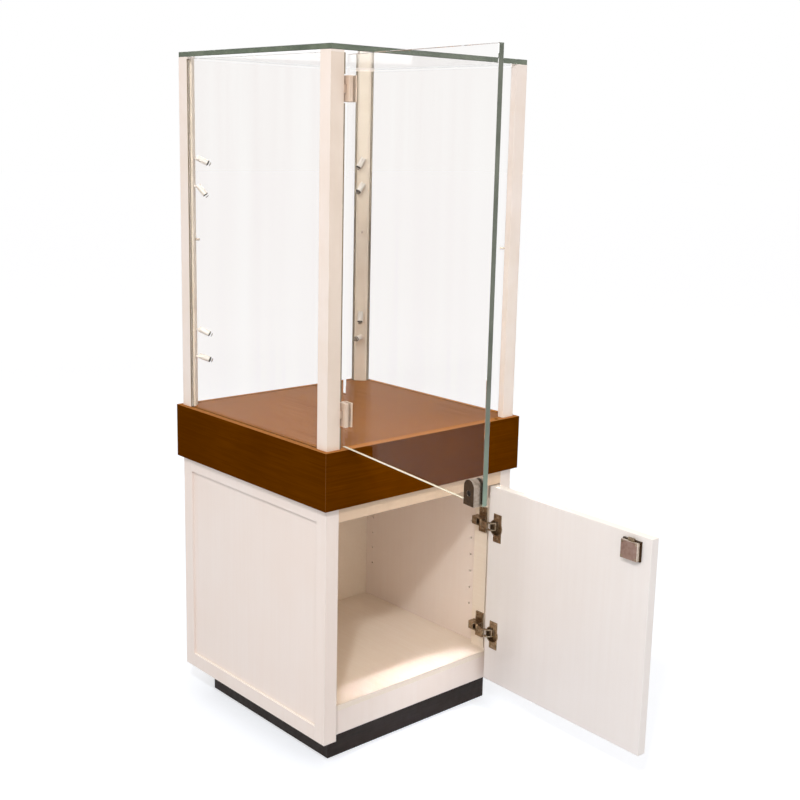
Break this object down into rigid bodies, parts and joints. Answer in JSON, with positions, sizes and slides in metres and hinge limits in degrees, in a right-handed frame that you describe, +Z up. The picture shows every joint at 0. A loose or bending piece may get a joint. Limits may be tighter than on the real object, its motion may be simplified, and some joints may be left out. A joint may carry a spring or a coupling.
{
  "type": "glass display cabinet",
  "caption": "Display cabinet: a framed glass case with a hinged glass door and spot lamps, on a lockable cupboard with a recessed plinth.",
  "frame": {"origin": "on the floor, under the middle of the cabinet", "axes": "+Z up, +X to the right and -Y to the front, as someone faces the doors"},
  "size_m": [0.5403, 0.9393, 1.386],
  "materials": {
    "dark_plinth_board": "matt, near black stain",
    "inside_board": "plain white board, slightly glossy",
    "cream_lacquer": "satin cream lacquer",
    "brown_lacquer": "glossy brown lacquer",
    "deck_laminate": "satin brown laminate",
    "cream_profile": "cream powder coat",
    "clear_glass": "clear, polished edges",
    "cream_hardware": "cream powder coat",
    "nickel": "nickel plate, lightly worn",
    "lock_bronze": "dark bronze plate",
    "lamp_metal": "white powder coat"
  },
  "bodies": {
    "root": {"plinth_front": "dark_plinth_board", "plinth_back": "dark_plinth_board", "plinth_ribs": "dark_plinth_board", "base_board": "inside_board", "cupboard_post_front_left": "cream_lacquer", "cupboard_post_front_right": "cream_lacquer", "cupboard_post_rear_left": "cream_lacquer", "cupboard_post_rear_right": "cream_lacquer", "front_top_rail": "cream_lacquer", "front_toe_rail": "cream_lacquer", "left_rails": "cream_lacquer", "right_rails": "cream_lacquer", "rear_rails": "cream_lacquer", "left_panel": "cream_lacquer", "right_panel": "cream_lacquer", "back_panel": "inside_board", "cupboard_floor": "inside_board", "floor_bearers": "inside_board", "cupboard_ceiling": "inside_board", "hinge_batten": "inside_board", "side_cleats": "inside_board", "band_front": "brown_lacquer", "band_back": "brown_lacquer", "band_left": "brown_lacquer", "band_right": "brown_lacquer", "deck_board": "deck_laminate", "glass_post_front_left": "cream_profile", "glass_post_front_right": "cream_profile", "glass_post_rear_left": "cream_profile", "glass_post_rear_right": "cream_profile", "post_pads": "cream_profile", "left_pane": "clear_glass", "right_pane": "clear_glass", "rear_pane": "clear_glass", "top_glass": "clear_glass", "shelf_pegs": "nickel", "glass_hinge_leaves": "cream_hardware", "hinge_arms": "nickel", "lamp_stems": "lamp_metal"},
    "glass_door": {"glass_door_pane": "clear_glass", "glass_hinge_clamps": "cream_hardware", "glass_hinge_pins": "nickel", "glass_lock_body": "lock_bronze", "glass_lock_plate": "lock_bronze"},
    "glass_lock_plug": {"glass_lock_plug": "lock_bronze"},
    "glass_lock_bolt": {"glass_lock_bolt": "nickel"},
    "cupboard_door": {"cupboard_door": "cream_lacquer", "hinge_cups": "nickel", "door_lock_body": "nickel"},
    "hinge_links": {"hinge_links": "nickel"},
    "door_lock_plug": {"door_lock_plug": "nickel"},
    "door_lock_bolt": {"door_lock_bolt": "nickel"},
    "lamp_head_left_1": {"lamp_head_left_1": "lamp_metal"},
    "lamp_head_left_2": {"lamp_head_left_2": "lamp_metal"},
    "lamp_head_left_3": {"lamp_head_left_3": "lamp_metal"},
    "lamp_head_left_4": {"lamp_head_left_4": "lamp_metal"},
    "lamp_head_right_1": {"lamp_head_right_1": "lamp_metal"},
    "lamp_head_right_2": {"lamp_head_right_2": "lamp_metal"},
    "lamp_head_right_3": {"lamp_head_right_3": "lamp_metal"},
    "lamp_head_right_4": {"lamp_head_right_4": "lamp_metal"}
  },
  "joints": [
    {"name": "glass_door_swing", "type": "hinge", "parent": "root", "child": "glass_door", "pos_m": [-0.211, -0.2463, 1.003], "axis": [0, 0, -1], "range_deg": [-98, 22]},
    {"name": "glass_lock_key", "type": "hinge", "parent": "glass_door", "child": "glass_lock_plug", "pos_m": [-0.27847, -0.65236, 0.675], "axis": [-0.9903, 0.1392, 0], "range_deg": [0, 90]},
    {"name": "glass_lock_bolt_slide", "type": "slide", "parent": "glass_door", "child": "glass_lock_bolt", "axis": [0, 0, -1], "range_m": [0, 0.012]},
    {"name": "cupboard_door_swing", "type": "hinge", "parent": "root", "child": "cupboard_door", "pos_m": [0.2145, -0.247, 0.2875], "axis": [0, 0, 1], "range_deg": [-88, 22]},
    {"name": "hinge_link_turn", "type": "hinge", "parent": "root", "child": "hinge_links", "pos_m": [0.204, -0.213, 0.2875], "axis": [0, 0, 1], "range_deg": [-20, 5]},
    {"name": "door_lock_key", "type": "hinge", "parent": "cupboard_door", "child": "door_lock_plug", "pos_m": [0.20394, -0.63537, 0.4765], "axis": [0.9994, -0.0349, 0], "range_deg": [0, 90]},
    {"name": "door_lock_bolt_slide", "type": "slide", "parent": "cupboard_door", "child": "door_lock_bolt", "axis": [0, 0, 1], "range_m": [0, 0.024]},
    {"name": "lamp_left_1_tilt", "type": "hinge", "parent": "root", "child": "lamp_head_left_1", "pos_m": [-0.22128, 0.22128, 1.175], "axis": [0.7071, 0.7071, 0], "range_deg": [-46, 54]},
    {"name": "lamp_left_2_tilt", "type": "hinge", "parent": "root", "child": "lamp_head_left_2", "pos_m": [-0.22128, 0.22128, 1.1175], "axis": [0.7071, 0.7071, 0], "range_deg": [-70, 30]},
    {"name": "lamp_left_3_tilt", "type": "hinge", "parent": "root", "child": "lamp_head_left_3", "pos_m": [-0.22128, 0.22128, 0.8175], "axis": [0.7071, 0.7071, 0], "range_deg": [-44, 56]},
    {"name": "lamp_left_4_tilt", "type": "hinge", "parent": "root", "child": "lamp_head_left_4", "pos_m": [-0.22128, 0.22128, 0.76], "axis": [0.6645, 0.6645, -0.342], "range_deg": [-38, 62]},
    {"name": "lamp_right_1_tilt", "type": "hinge", "parent": "root", "child": "lamp_head_right_1", "pos_m": [0.22128, 0.22128, 1.175], "axis": [0.6243, -0.6243, -0.4695], "range_deg": [-90, 10]},
    {"name": "lamp_right_2_tilt", "type": "hinge", "parent": "root", "child": "lamp_head_right_2", "pos_m": [0.22128, 0.22128, 1.1175], "axis": [0.6243, -0.6243, -0.4695], "range_deg": [-75, 25]},
    {"name": "lamp_right_3_tilt", "type": "hinge", "parent": "root", "child": "lamp_head_right_3", "pos_m": [0.22128, 0.22128, 0.8175], "axis": [0.7071, -0.7071, 0], "range_deg": [-82, 18]},
    {"name": "lamp_right_4_tilt", "type": "hinge", "parent": "root", "child": "lamp_head_right_4", "pos_m": [0.22128, 0.22128, 0.76], "axis": [0.1228, -0.1228, -0.9848], "range_deg": [-40, 60]}
  ],
  "couplings": [
    {"joint": "hinge_link_turn", "follows": "cupboard_door_swing", "ratio": 0.226},
    {"joint": "glass_lock_bolt_slide", "follows": "glass_lock_key", "m_per_rad": 0.007639},
    {"joint": "door_lock_bolt_slide", "follows": "door_lock_key", "m_per_rad": 0.015279}
  ]
}
